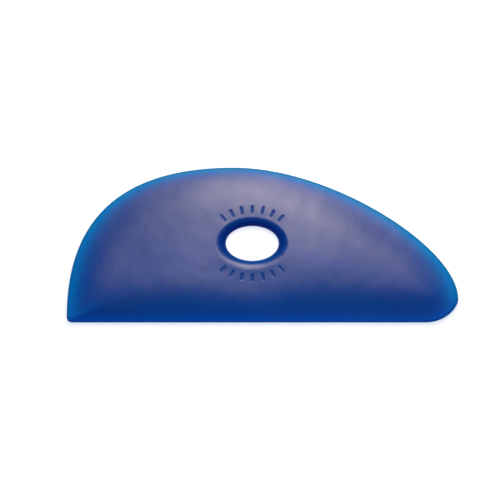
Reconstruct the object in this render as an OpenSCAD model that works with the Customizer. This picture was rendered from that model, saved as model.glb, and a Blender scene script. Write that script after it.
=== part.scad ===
// Half-moon pottery rib: a flexible blade moulded in one piece, thick in the middle and
// tapered on both faces to a thin edge all round, with an oval finger hole.
// X runs from the heel end to the nose, Y from the straight edge to the curved edge, Z is up.
// The rib lies on one face. The origin is on that face, at the middle of the length and width.

/* [Outline] */
// Length from the heel end to the tip of the nose
rib_l = 152.4; // [120:0.2:180]
// Width from the straight edge to the crest of the curved edge
rib_w = 60.3; // [50:0.1:72]
// Distance from the heel end to the crest
crest_x = 65; // [52:0.5:84]
// Radius of the heel corner
heel_r = 2.1; // [1:0.1:8]
// Height of the nose's tip above the straight edge
nose_h = 9.1; // [6:0.1:14]
// Distance from the end of the straight edge to the nose's tip
nose_l = 12.8; // [9:0.2:26]

/* [Fullness of the curves] */
// Heel end, just above the heel corner: 0.55 is as full as an ellipse, and more is squarer
heel_fullness = 0.73; // [0.4:0.01:0.8]
// Curved edge on the heel side of the crest
back_fullness = 0.6; // [0.4:0.01:0.8]
// Curved edge on the nose side of the crest
front_fullness = 0.44; // [0.35:0.01:0.7]
// Curved edge just above the nose's tip
nose_top_fullness = 0.39; // [0.2:0.01:0.6]
// Nose just below its tip
nose_tip_fullness = 0.34; // [0.25:0.01:0.7]
// Nose where it meets the straight edge
nose_base_fullness = 0.64; // [0.4:0.01:0.8]

/* [Thickness] */
// Thickness of the flat middle
mid_t = 7; // [5:0.1:9]
// Thickness of the edge
edge_t = 1.6; // [1.2:0.1:3]
// Rounding of the edge
edge_r = 0.6; // [0.3:0.05:0.8]
// Width of the taper from the edge to the flat middle
taper_w = 18; // [10:0.5:20]
// Roundness of the taper: 1 is an even slope, and more is steeper near the edge
taper_power = 2.5; // [1.5:0.1:3.5]

/* [Finger hole] */
// Length of the hole at its waist
hole_l = 20.5; // [16:0.1:26]
// Width of the hole at its waist
hole_w = 13.4; // [10:0.1:16]
// Distance from the heel end to the middle of the hole
hole_x = 72.2; // [60:0.2:90]
// Distance from the straight edge to the middle of the hole
hole_y = 30.8; // [24:0.1:34]
// Width of the rounded rim round the hole
rim_w = 3.4; // [2:0.1:5]

/* [Hidden] */
blue = [0.02, 0.22, 0.55];

// Steps along each stretch of the outline
heel_steps = 6;
back_steps = 30;
front_steps = 34;
nose_steps = 14;
straight_steps = 34;
// Steps across the section, and how much closer the face's steps are near the edge
edge_steps = 3;
face_steps = 11;
rim_steps = 5;
face_spacing = 1.35;
// How sharp the ridge is where the tapers of the two sides meet
ridge_power = 4;

mid_h = mid_t / 2;
edge_h = edge_t / 2;
taper_drop = mid_h - edge_h;
// Slope of the face where it meets the rounded edge
edge_slope = atan(taper_drop * taper_power / taper_w);
edge_round = min(edge_r, 0.95 * edge_h);
// Height of the centre of the edge's rounding above the middle of the thickness
round_h = edge_h + edge_round * (tan(edge_slope) - 1 / cos(edge_slope));
hole_at = [hole_x, hole_y];

// A quarter turn from one point to another, square to the axes at both ends.
// corner is where its two end directions meet.
function quarter(from, corner, to, from_fullness, to_fullness) = [
    from,
    from + from_fullness * (corner - from),
    to + to_fullness * (corner - to),
    to
];

heel_end = [0, heel_r];
crest = [crest_x, rib_w];
nose_tip = [rib_l, nose_h];
straight_end = [rib_l - nose_l, 0];
back_curve = quarter(heel_end, [0, rib_w], crest, heel_fullness, back_fullness);
front_curve = quarter(crest, [rib_l, rib_w], nose_tip, front_fullness, nose_top_fullness);
nose_curve = quarter(nose_tip, [rib_l, 0], straight_end, nose_tip_fullness, nose_base_fullness);

function bezier(c, t) =
    pow(1 - t, 3) * c[0] + 3 * pow(1 - t, 2) * t * c[1] + 3 * (1 - t) * t * t * c[2] + pow(t, 3) * c[3];

function bezier_way(c, t) =
    pow(1 - t, 2) * (c[1] - c[0]) + 2 * (1 - t) * t * (c[2] - c[1]) + t * t * (c[3] - c[2]);

// Each stretch of the outline is a list of [point, outward direction], clockwise
function curved_stretch(c, steps) = [
    for (i = [0 : steps - 1])
        let (way = bezier_way(c, i / steps))
        [bezier(c, i / steps), [-way.y, way.x] / norm(way)]
];

function straight_stretch(from, to, steps) = [
    for (i = [0 : steps - 1])
        [from + (to - from) * i / steps, [0, -1]]
];

function heel_stretch(first, last) = [
    for (i = [first : last - 1])
        let (turn = 90 * i / heel_steps, out = [-sin(turn), -cos(turn)])
        [[heel_r, heel_r] + heel_r * out, out]
];

curved_side = concat(
    heel_stretch(heel_steps / 2, heel_steps),
    curved_stretch(back_curve, back_steps),
    curved_stretch(front_curve, front_steps)
);
straight_side = concat(
    curved_stretch(nose_curve, nose_steps),
    straight_stretch(straight_end, [heel_r, 0], straight_steps),
    heel_stretch(0, heel_steps / 2)
);
outline = concat(curved_side, straight_side);
n = len(outline);

// Depth of a point inside one side of the outline
function side_depth(side, p) = max(0, min([for (e = side) (e[0] - p) * e[1]]));

// Depth inside the whole outline, smoothed where the two sides are equally far
function depth(p) =
    let (a = side_depth(curved_side, p), b = side_depth(straight_side, p))
    a * b == 0 ? 0 : a * b / pow(pow(a, ridge_power) + pow(b, ridge_power), 1 / ridge_power);

// Height of the face above the middle of the thickness
function face_h(p) = mid_h - taper_drop * pow(max(0, 1 - depth(p) / taper_w), taper_power);

// Points at one depth in from the outline
function inset(d) = [for (e = outline) e[0] - d * e[1]];

// A ring of the rounded edge, from 0 at its side to 1 where it meets the face
function edge_ring(s) =
    let (turn = s * (90 - edge_slope))
    [for (p = inset(edge_round * (1 - cos(turn)))) [p.x, p.y, round_h + edge_round * sin(turn)]];

// The point of an oval round the hole at an angle of its own
function oval(grow, turn) =
    hole_at + [(hole_l / 2 + grow) * cos(turn), (hole_w / 2 + grow) * sin(turn)];

// Angle on the rim's oval that faces each point of the outline
rim_turns = [
    for (e = outline)
        let (way = e[0] - hole_at)
        atan2(way.y * (hole_l / 2 + rim_w), way.x * (hole_w / 2 + rim_w))
];
face_start = inset(edge_round * (1 - sin(edge_slope)));

// A ring of the face, from 0 at the rounded edge to 1 at the rim
function face_ring(s) = [
    for (i = [0 : n - 1])
        let (p = (1 - s) * face_start[i] + s * oval(rim_w, rim_turns[i]))
        [p.x, p.y, face_h(p)]
];

// A ring of the rim, from 0 at the face to 1 at the waist of the hole
function rim_ring(s) = [
    for (turn = rim_turns)
        let (p = oval(rim_w * (1 - sin(90 * s)), turn))
        [p.x, p.y, face_h(oval(rim_w, turn)) * cos(90 * s)]
];

upper_rings = concat(
    [for (i = [0 : edge_steps]) edge_ring(i / edge_steps)],
    [for (i = [1 : face_steps]) face_ring(pow(i / face_steps, face_spacing))],
    [for (i = [1 : rim_steps]) rim_ring(i / rim_steps)]
);
// The lower face mirrors the upper one, and both share the waist of the hole
lower_rings = [
    for (i = [len(upper_rings) - 2 : -1 : 0])
        [for (p = upper_rings[i]) [p.x, p.y, -p.z]]
];

// A solid whose skin joins each ring to the next, and the last ring to the first
module ring_solid(rings) {
    m = len(rings);
    polyhedron(
        points = [for (r = rings) each r],
        faces = [
            for (j = [0 : m - 1], i = [0 : n - 1])
                let (a = j * n, b = (j + 1) % m * n, k = (i + 1) % n)
                [a + i, a + k, b + k, b + i]
        ],
        convexity = 6
    );
}

module rib_blade() {
    color(blue)
    translate([-rib_l / 2, -rib_w / 2, mid_h])
    ring_solid(concat(upper_rings, lower_rings));
}

rib_blade();
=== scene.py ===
"""A half-moon pottery rib in cast blue polyurethane, lying on a white light table."""

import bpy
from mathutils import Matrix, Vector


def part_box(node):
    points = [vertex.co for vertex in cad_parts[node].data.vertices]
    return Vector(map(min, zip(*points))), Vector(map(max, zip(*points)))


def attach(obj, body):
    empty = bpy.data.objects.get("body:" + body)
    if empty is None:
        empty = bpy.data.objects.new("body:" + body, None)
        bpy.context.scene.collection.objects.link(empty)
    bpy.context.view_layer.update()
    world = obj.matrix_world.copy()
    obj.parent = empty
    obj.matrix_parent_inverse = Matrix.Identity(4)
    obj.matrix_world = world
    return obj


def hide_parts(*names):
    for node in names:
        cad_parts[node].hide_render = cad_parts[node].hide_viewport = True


bl_info = {
    "name": "Half-Moon Pottery Rib",
    "version": (1, 0, 0),
    "blender": (4, 5, 0),
    "location": "View3D > Sidebar > Pottery Rib",
    "description": "Builds a flexible pottery rib and the lit table that it lies on",
    "category": "Object",
}

import math

import bpy
import numpy as np
from bpy.props import FloatProperty, FloatVectorProperty, IntProperty, PointerProperty
from mathutils import Vector

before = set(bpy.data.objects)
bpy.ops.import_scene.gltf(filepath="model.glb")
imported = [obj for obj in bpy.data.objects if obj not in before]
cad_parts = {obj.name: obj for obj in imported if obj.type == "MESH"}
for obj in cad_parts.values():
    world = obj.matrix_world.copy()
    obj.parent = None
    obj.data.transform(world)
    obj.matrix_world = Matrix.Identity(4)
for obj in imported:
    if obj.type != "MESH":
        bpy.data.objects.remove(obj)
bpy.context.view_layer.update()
BLADE_LOW, BLADE_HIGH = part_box("rib_blade")
MM = 0.001


def linear(hex_colour):
    """The linear red, green and blue of an sRGB hex colour."""
    parts = [int(hex_colour[i:i + 2], 16) / 255 for i in (1, 3, 5)]
    return tuple(c / 12.92 if c <= 0.04045 else ((c + 0.055) / 1.055) ** 2.4 for c in parts)


def length(name, description, default):
    """A property that holds a length in metres."""
    return FloatProperty(
        name=name, description=description, default=default, unit="LENGTH", precision=5,
    )


def angle(name, description, degrees):
    """A property that holds an angle, given in degrees."""
    return FloatProperty(
        name=name, description=description, default=math.radians(degrees), subtype="ANGLE",
    )


def share(name, description, default):
    """A property that holds a number with no unit."""
    return FloatProperty(name=name, description=description, default=default, min=0, precision=3)


def colour(name, description, hex_colour):
    """A property that holds a linear colour."""
    return FloatVectorProperty(
        name=name, description=description, default=linear(hex_colour),
        subtype="COLOR", min=0, max=1,
    )


# The sizes and colours that a user would change

class RibOutline(bpy.types.PropertyGroup):
    """The outline, seen from above"""

    length: length("Length", "From the heel end to the nose's tip", BLADE_HIGH.x - BLADE_LOW.x)
    width: length("Width", "From the straight edge to the crest", BLADE_HIGH.y - BLADE_LOW.y)
    crest_x: length("Crest", "From the heel end to the crest of the curved edge", 65 * MM)
    heel_r: length("Heel radius", "Radius of the heel corner", 2.1 * MM)
    nose_h: length("Nose height", "Height of the nose's tip above the straight edge", 9.1 * MM)
    nose_l: length("Nose length", "From the end of the straight edge to the nose's tip", 12.8 * MM)
    heel_fullness: share("Heel fullness", "0.55 is as full as an ellipse, more is squarer", 0.73)
    back_fullness: share("Back fullness", "Curved edge on the heel side of the crest", 0.6)
    front_fullness: share("Front fullness", "Curved edge on the nose side of the crest", 0.44)
    nose_top_fullness: share("Nose top fullness", "Curved edge just above the nose's tip", 0.39)
    nose_tip_fullness: share("Nose tip fullness", "Nose just below its tip", 0.34)
    nose_base_fullness: share("Nose base fullness", "Nose where it meets the straight edge", 0.64)


class RibSection(bpy.types.PropertyGroup):
    """The thickness, and how it tapers"""

    mid_t: length("Middle thickness", "Thickness of the flat middle", BLADE_HIGH.z - BLADE_LOW.z)
    edge_t: length("Edge thickness", "Thickness of the edge", 1.6 * MM)
    edge_r: length("Edge rounding", "Radius of the edge's rounding", 0.6 * MM)
    taper_w: length("Taper width", "From the edge to the flat middle", 18 * MM)
    taper_power: share("Taper roundness", "1 is an even slope, more is steeper near the edge", 2.5)
    ridge_power: share("Ridge sharpness", "How sharply the tapers of two edges meet", 4)
    sag: length("Sag", "How far the upper face shrank inwards as the blade set", 0.39 * MM)
    waviness: share("Waviness", "How uneven the upper face is", 1)


class FingerHole(bpy.types.PropertyGroup):
    """The oval hole and its rounded rim"""

    length: length("Length", "Length of the hole at its waist", 20.5 * MM)
    width: length("Width", "Width of the hole at its waist", 13.4 * MM)
    x: length("Place along", "From the heel end to the middle of the hole", 72.2 * MM)
    y: length("Place across", "From the straight edge to the middle of the hole", 30.8 * MM)
    rim_along: length("Rim along", "Width of the rounded rim at the hole's two ends", 3.9 * MM)
    rim_across: length("Rim across", "Width of the rounded rim above and below the hole", 3.7 * MM)
    rim_drop: length("Rim drop", "How far the rim falls to the hole's straight wall", 2.3 * MM)
    rim_power: share("Rim roundness", "2 is as round as an ellipse, less is nearer a flat bevel", 1.55)
    rim_low_power: share("Lower rim roundness", "The same, on the straight edge's side", 2.6)
    rim_shift: FloatVectorProperty(
        name="Rim shift", description="How far the rim's outer oval lies off the hole's middle",
        default=(-0.1 * MM, -0.1 * MM), size=2, unit="LENGTH", precision=5,
    )


class GripMarks(bpy.types.PropertyGroup):
    """Two fans of pressed marks, above and below the hole"""

    count: IntProperty(name="Count", description="Marks in each fan", default=7, min=0)
    gap: length("Gap", "From the hole's waist to the marks", 4.9 * MM)
    length: length("Length", "Length of a mark", 3.3 * MM)
    width: length("Width", "Width of a mark", 1.2 * MM)
    depth: length("Depth", "How deep a mark is pressed in", 0.24 * MM)
    wall: length("Wall", "Width of a mark's sloping wall", 0.55 * MM)
    spread: angle("Spread", "Turn from a fan's first mark to its last", 84)


class PolyurethaneFinish(bpy.types.PropertyGroup):
    """The colours with their painted light and shade, and the skin of the polyurethane"""

    # Edge colours: painted light through the thin edge, brightest on the crest's side, which faces the
    # softbox, and darkest on the straight edge's side
    clear: colour("Clear edge", "Crest's edge, where the most light comes through", "#00B3FC")
    shaded_edge: colour("Dense edge", "Straight edge, where the pigment settled", "#0068E6")
    thick: colour("Thick middle", "Where no light comes through", "#0051B9")
    # The hole's wall: painted shade on the crest's side, which faces away from the softbox, and
    # painted light on the straight edge's side, which faces it
    rim_shaded_wall: colour("Hole's upper wall", "Hole's wall on the crest's side", "#001C9C")
    rim_lit_wall: colour("Hole's lower wall", "Hole's wall on the straight edge's side", "#0065C6")
    # A thin painted shade along the outline
    edge_shade: share("Edge shade", "How much darker the seam of the mould's halves is", 0.68)
    # Painted light and shade on the face: lighter towards the straight edge, darker towards the crest
    # and at both ends
    painted_light_across: share("Settling", "How much brighter the straight edge's side is than the crest's", 0.19)
    painted_shade_at_ends: share("Deepening", "How much darker the blue is at both ends than in the middle", 0.18)
    translucence: share("Translucence", "Share of the light that spreads inside", 0.6)
    light_spread: length("Light spread", "How far light spreads inside", 3 * MM)
    roughness: share("Roughness", "Roughness of the moulded skin", 0.305)
    cloudiness: share("Cloudiness", "How much the cloudy patches change the roughness", 0.03)
    cloud: length("Cloud size", "Size of the cloudy patches", 7 * MM)
    grain: length("Grain size", "Size of the mould's blasted grain", 0.2 * MM)
    grain_depth: length("Grain depth", "Depth of the mould's blasted grain", 0.022 * MM)
    mottle: length("Mottle size", "Size of the soft unevenness of the skin", 6 * MM)
    mottle_depth: length("Mottle depth", "Depth of the soft unevenness of the skin", 0.062 * MM)


class LightTable(bpy.types.PropertyGroup):
    """The glowing table, the softbox over it, the camera and the room"""

    camera_distance: length("Camera distance", "From the rib up to the camera", 1.0)
    light_distance: length("Light distance", "From the rib to the softbox", 0.4755)
    light_x: length("Light offset", "From over the rib's middle towards the nose", 0.02)
    light_tilt: angle("Light tilt", "Lean of the softbox towards the curved edge", 17)
    light_width: length("Light width", "Width of the softbox along the rib", 0.16)
    light_depth: length("Light depth", "Depth of the softbox across the rib", 0.245)
    light_power: FloatProperty(
        name="Light power", description="Power of the softbox", default=1.67, unit="POWER",
    )
    light_colour: colour("Light colour", "Tint of the softbox", "#FFE9DB")
    floor_radius: length("Table radius", "Radius of the round table", 6.0)
    floor_glow: share("Table glow", "Light that the table gives by itself", 0.79)
    floor_colour: colour("Table colour", "Colour of the opal acrylic", "#D0D0D0")
    glow_colour: colour("Glow colour", "Colour of the light from below", "#F2FAFF")
    room_light: share("Room light", "Light that the dim room sheds on the rib", 0.015)
    room_shown: share("Room brightness", "How bright the room looks past the table", 0.8)
    room_colour: colour("Room colour", "Colour of the room", "#F4F6F8")


# The blade's shape, in metres from the heel end and the straight edge

# Where the upper face set higher or lower than the rest, in millimetres: place along and across
# from the middle of the rib, reach along and across, and height
WAVES = {
    "sink above the heel": (-56.5, 3, 13, 19, -0.8),
    "sink in the back of the curve": (-38, 17, 8.5, 9, -0.23),
    "swell of the heel half": (-44, -12.5, 35, 26, 0.7),
    "swell beside the hole": (23.5, -5, 12, 9.5, 0.46),
    "sink below the hole": (-6, -14, 8.5, 6, -0.45),
    "sink along the nose end's straight edge": (46, -37, 33, 6, -2.65),
    "sink along the nose end's curved edge": (58, 12, 15.5, 9.5, -0.6),
    "sink under the nose": (79, -28, 6.5, 6.5, -1.85),
}
# The waves fade out over this depth from the outline
WAVE_MARGIN = 5 * MM

# The edge turns from 0 at the straight edge to 2 at the crest: the turn where its painted light is
# brightest, and the turn that is added at the nose and taken off at the heel end
LIT_EDGE_TURN = 1.8
NOSE_TURN = 0.12
# How much thicker than its edge the blade can be and still show the painted glow of light coming
# through: at its two ends, how much less along the crest and the straight edge, and how much more at
# the nose
GLOW_DEPTH = 2.8 * MM
GLOW_LESS = 1.3 * MM
GLOW_NOSE = 0.1 * MM
# The painted glow's depth in red, green and blue, as a share of red's
GLOW_REACH = np.array([1.0, 0.95, 1.3])
# How far light spreads inside the polyurethane in red, green and blue, as a share of blue's
INNER_SPREAD = (0.1, 0.5, 1.0)
# How far in from the outline the painted shade along it reaches
OUTLINE_SHADE_REACH = 0.42 * MM
# The edge's rounding, at most, as a share of half the edge's thickness
FULLEST_ROUND = 0.95
# How far past the grip marks the finely meshed band goes
BAND_MARGIN = 1.2 * MM

# Steps along each stretch of the outline before its points are shared out
FINE_STEPS = 700
# Tangents of each side of the outline that depth is measured from
SIDE_TANGENTS = 260
# Points in a ring, and how much length, turn and bend count where they are shared out
LOOP_POINTS = 640
BY_LENGTH = 0.3
BY_TURN = 0.45
BY_BEND = 0.25
# Rings across each half of the mesh, and how much closer the face's rings are near the edge
EDGE_RINGS = 4
FACE_RINGS = 18
BAND_RINGS = 38
RIM_RINGS = 12
FACE_SPACING = 1.35


def quarter(start, corner, end, start_fullness, end_fullness):
    """A quarter turn between two points, square to the axes at both, as a cubic curve."""
    start, corner, end = map(np.array, (start, corner, end))
    start_handle = start + start_fullness * (corner - start)
    end_handle = end + end_fullness * (corner - end)
    return start, start_handle, end_handle, end


def curve_stretch(curve):
    """Points and outward directions along a cubic curve, without its last point."""
    t = np.arange(FINE_STEPS)[:, None] / FINE_STEPS
    a, b, c, d = curve
    points = (1 - t) ** 3 * a + 3 * (1 - t) ** 2 * t * b + 3 * (1 - t) * t ** 2 * c + t ** 3 * d
    way = (1 - t) ** 2 * (b - a) + 2 * (1 - t) * t * (c - b) + t ** 2 * (d - c)
    outward = np.stack([-way[:, 1], way[:, 0]], 1)
    return points, outward / np.linalg.norm(outward, axis=1, keepdims=True)


def heel_stretch(radius, first, last):
    """Part of the heel corner's arc, from 0 at the straight edge to 1 at the heel end."""
    turn = np.radians(90) * (first + (last - first) * np.arange(FINE_STEPS) / FINE_STEPS)
    outward = -np.stack([np.sin(turn), np.cos(turn)], 1)
    return radius + radius * outward, outward


def straight_stretch(start, end):
    """The straight edge."""
    t = np.arange(FINE_STEPS)[:, None] / FINE_STEPS
    points = np.array(start) + t * (np.array(end) - np.array(start))
    return points, np.tile([0.0, -1.0], (FINE_STEPS, 1))


def rib_sides(shape):
    """The outline in two sides, curved and straight, each as points and outward directions."""
    heel_end, crest = (0, shape.heel_r), (shape.crest_x, shape.width)
    nose_tip, straight_end = (shape.length, shape.nose_h), (shape.length - shape.nose_l, 0)
    back = quarter(heel_end, (0, shape.width), crest, shape.heel_fullness, shape.back_fullness)
    front = quarter(
        crest, (shape.length, shape.width), nose_tip, shape.front_fullness, shape.nose_top_fullness
    )
    nose = quarter(
        nose_tip, (shape.length, 0), straight_end, shape.nose_tip_fullness, shape.nose_base_fullness
    )
    curved = [heel_stretch(shape.heel_r, 0.5, 1), curve_stretch(back), curve_stretch(front)]
    straight = [
        curve_stretch(nose),
        straight_stretch(straight_end, (shape.heel_r, 0)),
        heel_stretch(shape.heel_r, 0, 0.5),
    ]
    return [[np.concatenate(part) for part in zip(*side)] for side in (curved, straight)]


def shared_out(sides, middle):
    """LOOP_POINTS of the outline, shared out by length, by turn about the hole and by bend."""
    points, outward = (np.concatenate(part) for part in zip(*sides))
    points = np.vstack([points, points[:1]])
    outward = np.vstack([outward, outward[:1]])
    way = points - middle
    turn = np.unwrap(np.arctan2(way[:, 1], way[:, 0]))
    bend = np.unwrap(np.arctan2(outward[:, 1], outward[:, 0]))
    travel = np.linalg.norm(np.diff(points, axis=0), axis=1)
    measure = BY_LENGTH * travel / travel.sum()
    measure += BY_TURN * np.abs(np.diff(turn)) / (2 * math.pi)
    measure += BY_BEND * np.abs(np.diff(bend)) / (2 * math.pi)
    at = np.concatenate([[0], np.cumsum(measure)])
    wanted = np.arange(LOOP_POINTS) / LOOP_POINTS * at[-1]
    points = np.stack([np.interp(wanted, at, points[:, i]) for i in (0, 1)], 1)
    outward = np.stack([np.interp(wanted, at, outward[:, i]) for i in (0, 1)], 1)
    return points, outward / np.linalg.norm(outward, axis=1, keepdims=True)


class Blade:
    """The rib's shape, worked out from its sizes."""

    def __init__(self, shape, section, hole, marks, finish):
        self.section, self.hole, self.marks, self.finish = section, hole, marks, finish
        self.centre = np.array([shape.length / 2, shape.width / 2])
        self.middle = np.array([hole.x, hole.y])
        self.waist = np.array([hole.length, hole.width]) / 2
        sides = rib_sides(shape)
        self.points, self.outward = shared_out(sides, self.middle)
        # For each side of the outline, how far out its tangents lie and which way they face
        self.tangents = []
        for points, outward in sides:
            chosen = np.linspace(0, len(points) - 1, SIDE_TANGENTS).astype(int)
            self.tangents.append(((points[chosen] * outward[chosen]).sum(1), outward[chosen]))
        self.mid_h, self.edge_h = section.mid_t / 2, section.edge_t / 2
        slope = (self.mid_h - self.edge_h) * section.taper_power / section.taper_w
        self.edge_slope = math.atan(slope)
        self.edge_round = min(section.edge_r, FULLEST_ROUND * self.edge_h)
        self.round_h = self.edge_h + self.edge_round * (slope - 1 / math.cos(self.edge_slope))
        # Each ring's points keep their turn about the hole, from the band of grip marks inwards
        band = marks.gap + marks.length + BAND_MARGIN
        way = (self.points - self.middle) / (self.waist + band)
        self.turns = np.arctan2(way[:, 1], way[:, 0])
        self.band = self.oval(band, self.turns)

    def depth(self, p):
        """How deep points lie inside the outline, smoothed between its two sides."""
        a, b = (np.maximum(0, (reach - p @ out.T).min(1)) for reach, out in self.tangents)
        power = self.section.ridge_power
        with np.errstate(divide="ignore", invalid="ignore"):
            both = a * b / (a ** power + b ** power) ** (1 / power)
        return np.where(a * b == 0, 0, both)

    def height(self, p, upper=False):
        """Height of the face above the middle of the thickness. The upper face is uneven."""
        depth = self.depth(p)
        left = np.maximum(0, 1 - depth / self.section.taper_w)
        even = self.mid_h - (self.mid_h - self.edge_h) * left ** self.section.taper_power
        if not upper:
            return even
        waves = np.full(len(p), -self.section.sag)
        for x, y, along, across, rise in WAVES.values():
            off = (p - self.centre) / MM - (x, y)
            wave = rise * MM * np.exp(-((off[:, 0] / along) ** 2 + (off[:, 1] / across) ** 2) / 2)
            waves += self.section.waviness * wave
        return even + waves * (1 - np.exp(-(depth / WAVE_MARGIN) ** 2))

    def inset(self, d):
        """The outline's points, moved in by a distance."""
        return self.points - d * self.outward

    def oval(self, grow, turn):
        """Points of an oval that is wider than the hole's waist by grow, along and across."""
        return self.middle + (self.waist + grow) * np.stack([np.cos(turn), np.sin(turn)], -1)

    def rim_oval(self, s):
        """Points of the rim's ovals, from 0 at the hole's waist to 1 at the face."""
        grow = s * np.array([self.hole.rim_along, self.hole.rim_across])
        return self.oval(grow, self.turns) + s * np.array(self.hole.rim_shift)

    def pressed(self, p):
        """How deep the grip marks press the face in at each point."""
        marks = self.marks
        result = np.zeros(len(p))
        if marks.count == 0:
            return result
        turns = np.linspace(-marks.spread / 2, marks.spread / 2, marks.count)
        for turn in np.concatenate([math.pi / 2 + turns, -math.pi / 2 + turns]):
            start = self.oval(marks.gap + marks.width / 2, turn)
            end = self.oval(marks.gap + marks.length - marks.width / 2, turn)
            along = np.clip((p - start) @ (end - start) / ((end - start) ** 2).sum(), 0, 1)
            off = np.linalg.norm(p - start - along[:, None] * (end - start), axis=1)
            inside = np.clip((marks.width / 2 - off) / marks.wall, 0, 1)
            result = np.maximum(result, marks.depth * inside * inside * (3 - 2 * inside))
        return result

    def tint(self, p, thickness, inside=math.inf):
        """Colour of a ring's points, with painted light and shade. The thin edge is painted bright
        with the light that comes through it, most of all along the crest, which faces the softbox, and
        least along the straight edge. The face is painted lighter towards the straight edge and darker
        at both ends, and a thin painted shade runs along the outline."""
        finish = self.finish
        thick, shaded_edge, clear = map(np.array, (finish.thick, finish.shaded_edge, finish.clear))
        aside, facing = self.outward[:, :1], self.outward[:, 1:]
        # Painted light through the thin edge: brightest on the crest's side, which faces the softbox,
        # darkest on the straight edge's side
        edge_turn = (1 + facing + NOSE_TURN * aside) / LIT_EDGE_TURN
        edge = shaded_edge + (clear - shaded_edge) * np.clip(edge_turn, 0, 1)
        # Painted light and shade on the face: lighter towards the straight edge, darker towards the
        # crest and at both ends
        along, across = p[:, :1] / self.centre[0] - 1, p[:, 1:] / self.centre[1] - 1
        body = thick * (1 - finish.painted_light_across * across / 2 - finish.painted_shade_at_ends * along ** 2)
        # How deep the painted glow of light through the thin edge reaches
        depth = GLOW_DEPTH - GLOW_LESS * facing ** 2 + GLOW_NOSE * aside
        through = np.broadcast_to(thickness, LOOP_POINTS)[:, None] - self.section.edge_t
        lit = body + (edge - body) * np.exp(-((through / (depth * GLOW_REACH)) ** 2))
        # A thin painted shade along the outline
        return lit * (1 - finish.edge_shade * np.exp(-inside / OUTLINE_SHADE_REACH))

    def edge_rings(self):
        """Rings of the rounded edge, from its side to where it meets the face."""
        rings = []
        for i in range(EDGE_RINGS + 1):
            turn = i / EDGE_RINGS * (math.pi / 2 - self.edge_slope)
            inside = self.edge_round * (1 - math.cos(turn))
            p = self.inset(inside)
            z = np.full(LOOP_POINTS, self.round_h + self.edge_round * math.sin(turn))
            rings.append((p, z, self.tint(p, self.section.edge_t, inside)))
        return rings

    def face_rings(self, upper):
        """Rings of the taper, and of the band with the grip marks, in to the rim."""
        rings = []
        start = self.inset(self.edge_round * (1 - math.sin(self.edge_slope)))
        for i in range(1, FACE_RINGS + 1):
            s = (i / FACE_RINGS) ** FACE_SPACING
            p = (1 - s) * start + s * self.band
            tint = self.tint(p, 2 * self.height(p), self.depth(p)[:, None])
            rings.append((p, self.height(p, upper), tint))
        rim = self.rim_oval(1)
        for i in range(1, BAND_RINGS + 1):
            p = self.band + (rim - self.band) * i / BAND_RINGS
            z = self.height(p, upper) - self.pressed(p)
            rings.append((p, z, self.tint(p, 2 * self.height(p))))
        return rings

    def hole_rings(self, upper, face_tint):
        """Rings of the hole's rim and of its straight wall, down to the waist."""
        hole = self.hole
        # Painted shade on the hole's wall on the crest's side, painted light on the straight edge's
        # side
        shaded_side, lit_side = np.array(self.finish.rim_shaded_wall), np.array(self.finish.rim_lit_wall)
        # From 0 on the crest's side of the hole to 1 on the straight edge's side
        below = (1 - np.sin(self.turns)) / 2
        wall_tint = shaded_side + (lit_side - shaded_side) * below[:, None] ** 2
        lower_half = np.maximum(0, 2 * below - 1)
        power = hole.rim_power + (hole.rim_low_power - hole.rim_power) * lower_half ** 2
        top = self.height(self.rim_oval(1), upper)
        rings = []
        # The rim turns from the face's tint to the wall's painted light and shade
        for i in range(1, RIM_RINGS + 1):
            u = math.sin(i / RIM_RINGS * math.pi / 2)
            p = self.rim_oval(1 - u)
            z = top - hole.rim_drop * (1 - (1 - u ** power) ** (1 / power))
            rings.append((p, z, face_tint + u * (wall_tint - face_tint)))
        # The wall goes straight down from the rim's last ring
        return rings + [(p, z / 2, wall_tint), (p, 0 * z, wall_tint)]

    def half(self, upper):
        """Rings of the upper or lower half, from the edge's side to the hole's waist. Each ring is
        its points, their heights and their tints."""
        rings = self.edge_rings() + self.face_rings(upper)
        return rings + self.hole_rings(upper, rings[-1][2])


def ring_mesh(name, rings, origin):
    """A closed mesh whose skin joins each ring to the next, and the last ring to the first."""
    places = np.concatenate([np.column_stack([p, z]) for p, z, _ in rings]) - origin
    ring, step = np.divmod(np.arange(len(places)), LOOP_POINTS)
    this, after = ring * LOOP_POINTS, (ring + 1) % len(rings) * LOOP_POINTS
    beside = (step + 1) % LOOP_POINTS
    quads = np.stack([this + step, this + beside, after + beside, after + step], 1)
    mesh = bpy.data.meshes.new(name)
    mesh.from_pydata(places.tolist(), [], quads[:, ::-1].tolist())
    # Each point's tint: the blue with its painted light and shade
    tints = np.concatenate([tint for _, _, tint in rings])
    tints = np.column_stack([tints, np.ones(len(tints))])
    mesh.attributes.new("tint", "FLOAT_COLOR", "POINT").data.foreach_set("color", tints.ravel())
    mesh.shade_smooth()
    mesh.validate()
    return mesh


# Materials

def add_node(tree, kind, inputs=None, **settings):
    """Adds a node, sets its settings, and sets or links its inputs."""
    node = tree.nodes.new(kind)
    for name, value in settings.items():
        setattr(node, name, value)
    for name, value in (inputs or {}).items():
        if isinstance(value, bpy.types.NodeSocket):
            tree.links.new(value, node.inputs[name])
        else:
            node.inputs[name].default_value = value
    return node


def new_tree(name):
    """An empty material and its node tree."""
    material = bpy.data.materials.new(name)
    material.use_nodes = True
    material.node_tree.nodes.clear()
    return material, material.node_tree


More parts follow.
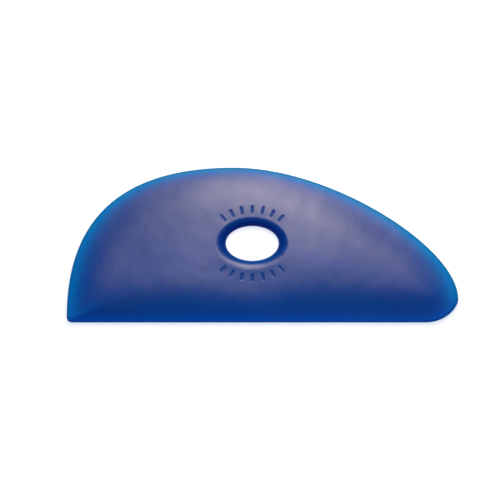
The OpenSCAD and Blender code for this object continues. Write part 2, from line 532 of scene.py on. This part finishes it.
def cast_polyurethane(finish):
    """Polyurethane cast in a blasted two-part mould: a satin skin over a deep blue, which the mesh's
    tint paints bright where the blade is thin enough for light to come through."""
    material, tree = new_tree("cast_polyurethane")
    place = add_node(tree, "ShaderNodeTexCoord").outputs["Object"]
    # The mesh's tint: the blue with its painted light and shade
    tint = add_node(tree, "ShaderNodeAttribute", attribute_name="tint").outputs["Color"]
    # Cloudy patches, as on a blade that has been handled. The noise lies mostly between 0.3 and 0.7
    cloud = add_node(
        tree, "ShaderNodeTexNoise",
        {"Vector": place, "Scale": 1 / finish.cloud, "Detail": 4.0, "Roughness": 0.6},
    ).outputs["Fac"]
    roughness = add_node(
        tree, "ShaderNodeMapRange",
        {"Value": cloud, "From Min": 0.3, "From Max": 0.7,
         "To Min": finish.roughness - finish.cloudiness,
         "To Max": finish.roughness + finish.cloudiness},
    ).outputs["Result"]
    # The mould's blasted grain, too fine for the eye to see: it only spreads the sheen
    grain = add_node(
        tree, "ShaderNodeTexNoise", {"Vector": place, "Scale": 1 / finish.grain, "Detail": 3.0}
    ).outputs["Fac"]
    bump = add_node(
        tree, "ShaderNodeBump", {"Height": grain, "Strength": 1.0, "Distance": finish.grain_depth}
    ).outputs["Normal"]
    # Soft unevenness, as the skin shrank on the mould: the sheen breaks up into faint patches
    mottle = add_node(
        tree, "ShaderNodeTexNoise",
        {"Vector": place, "Scale": 1 / finish.mottle, "Detail": 5.0, "Roughness": 0.38},
    ).outputs["Fac"]
    skin = add_node(
        tree, "ShaderNodeBump",
        {"Height": mottle, "Strength": 1.0, "Distance": finish.mottle_depth, "Normal": bump},
    ).outputs["Normal"]
    shader = add_node(
        tree, "ShaderNodeBsdfPrincipled",
        {"Base Color": tint, "Roughness": roughness, "Normal": skin, "IOR": 1.5,
         "Subsurface Weight": finish.translucence, "Subsurface Radius": INNER_SPREAD,
         "Subsurface Scale": finish.light_spread},
    )
    add_node(tree, "ShaderNodeOutputMaterial", {"Surface": shader.outputs["BSDF"]})
    return material


def opal_acrylic(table):
    """Opal acrylic sheet, lit from below: an even matt white that glows."""
    material, tree = new_tree("opal_acrylic")
    shader = add_node(
        tree, "ShaderNodeBsdfPrincipled",
        {"Base Color": (*table.floor_colour, 1), "Roughness": 0.9, "Specular IOR Level": 0.0,
         "Emission Color": (*table.glow_colour, 1), "Emission Strength": table.floor_glow},
    )
    add_node(tree, "ShaderNodeOutputMaterial", {"Surface": shader.outputs["BSDF"]})
    return material


def add_object(name, data):
    """Links a new object to the scene."""
    made = bpy.data.objects.new(name, data)
    bpy.context.scene.collection.objects.link(made)
    return made


# The operators that make the pieces

class POTTERY_RIB_OT_blade(bpy.types.Operator):
    """Make the blade, with its taper, finger hole and grip marks"""

    bl_idname = "pottery_rib.blade"
    bl_label = "Make Blade"

    def execute(self, context):
        scene = context.scene
        blade = Blade(
            scene.rib_outline, scene.rib_section, scene.rib_hole, scene.rib_marks, scene.rib_finish,
        )
        if not blade.depth(blade.band).all():
            raise RuntimeError("The grip marks reach past the outline")
        upper = blade.half(True)
        # The waist's ring belongs to both halves
        lower = [(p, -z, tint) for p, z, tint in blade.half(False)[-2::-1]]
        origin = np.array([*blade.centre, -blade.mid_h])
        mesh = ring_mesh("polyurethane_blade", upper + lower, origin)
        made = add_object("polyurethane_blade", mesh)
        made.data.materials.append(cast_polyurethane(scene.rib_finish))
        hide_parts("rib_blade")
        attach(made, "root")
        return {"FINISHED"}


# Where the photograph's frame lies on the object: its middle, and its width
FRAME_MIDDLE = Vector((-4.86 * MM, -1.91 * MM, 0))
FRAME_WIDTH = 194.64 * MM
# The table lies a hair under the blade, so that the two faces don't share a plane
TABLE_GAP = 0.02 * MM
TABLE_SIDES = 96


class POTTERY_RIB_OT_stage(bpy.types.Operator):
    """Make the light table, the softbox and the camera"""

    bl_idname = "pottery_rib.stage"
    bl_label = "Make Stage"

    def execute(self, context):
        scene = context.scene
        table = scene.rib_table
        self.make_table(table)
        self.make_light(table)
        self.make_camera(scene, table)
        self.make_room(scene, table)
        scene.view_settings.view_transform = "Standard"
        return {"FINISHED"}

    def make_table(self, table):
        """The round sheet that the rib lies on."""
        rim = []
        for i in range(TABLE_SIDES):
            turn = 2 * math.pi * i / TABLE_SIDES
            x, y = table.floor_radius * math.cos(turn), table.floor_radius * math.sin(turn)
            rim.append((x, y, -TABLE_GAP))
        mesh = bpy.data.meshes.new("light_table")
        mesh.from_pydata(rim, [], [range(TABLE_SIDES)])
        mesh.materials.append(opal_acrylic(table))
        add_object("light_table", mesh)

    def make_light(self, table):
        """The softbox, which leans towards the curved edge and isn't seen itself."""
        light = bpy.data.lights.new("softbox", "AREA")
        light.shape = "RECTANGLE"
        light.size, light.size_y = table.light_width, table.light_depth
        light.energy = table.light_power
        light.color = table.light_colour
        made = add_object("softbox", light)
        lean = Vector((0, math.sin(table.light_tilt), math.cos(table.light_tilt)))
        made.location = table.light_distance * lean
        made.location.x = table.light_x
        made.rotation_euler = (-table.light_tilt, 0, 0)
        made.visible_camera = False

    def make_camera(self, scene, table):
        """The camera, straight above the frame's middle."""
        data = bpy.data.cameras.new("camera")
        data.sensor_width = 36
        data.lens = data.sensor_width * table.camera_distance / FRAME_WIDTH
        made = add_object("camera", data)
        waist = (BLADE_LOW.z + BLADE_HIGH.z) / 2
        made.location = FRAME_MIDDLE + Vector((0, 0, waist + table.camera_distance))
        scene.camera = made

    def make_room(self, scene, table):
        """A dim room, which shows pale only where the camera looks past the table."""
        world = bpy.data.worlds.new("surroundings")
        world.use_nodes = True
        tree = world.node_tree
        tree.nodes.clear()
        seen = add_node(tree, "ShaderNodeLightPath").outputs["Is Camera Ray"]
        strength = add_node(
            tree, "ShaderNodeMapRange",
            {"Value": seen, "To Min": table.room_light, "To Max": table.room_shown},
        ).outputs["Result"]
        shown = add_node(
            tree, "ShaderNodeBackground",
            {"Color": (*table.room_colour, 1), "Strength": strength},
        )
        add_node(tree, "ShaderNodeOutputWorld", {"Surface": shown.outputs["Background"]})
        scene.world = world


PROPERTIES = {
    "rib_outline": RibOutline,
    "rib_section": RibSection,
    "rib_hole": FingerHole,
    "rib_marks": GripMarks,
    "rib_finish": PolyurethaneFinish,
    "rib_table": LightTable,
}
OPERATORS = (POTTERY_RIB_OT_blade, POTTERY_RIB_OT_stage)


class POTTERY_RIB_PT_panel(bpy.types.Panel):
    """Lists what makes the rib, with its sizes and colours"""

    bl_idname = "POTTERY_RIB_PT_panel"
    bl_label = "Pottery Rib"
    bl_space_type = "VIEW_3D"
    bl_region_type = "UI"
    bl_category = "Pottery Rib"

    def draw(self, context):
        for operator in OPERATORS:
            self.layout.operator(operator.bl_idname)
        for name, kind in PROPERTIES.items():
            box = self.layout.box()
            for field in kind.__annotations__:
                box.prop(getattr(context.scene, name), field)


def register():
    for kind in (*PROPERTIES.values(), *OPERATORS, POTTERY_RIB_PT_panel):
        bpy.utils.register_class(kind)
    for name, kind in PROPERTIES.items():
        setattr(bpy.types.Scene, name, PointerProperty(type=kind))


def unregister():
    for name in PROPERTIES:
        delattr(bpy.types.Scene, name)
    for kind in (POTTERY_RIB_PT_panel, *OPERATORS, *reversed(PROPERTIES.values())):
        bpy.utils.unregister_class(kind)


def main():
    register()
    bpy.ops.pottery_rib.stage()
    bpy.ops.pottery_rib.blade()


if __name__ == "__main__":
    main()
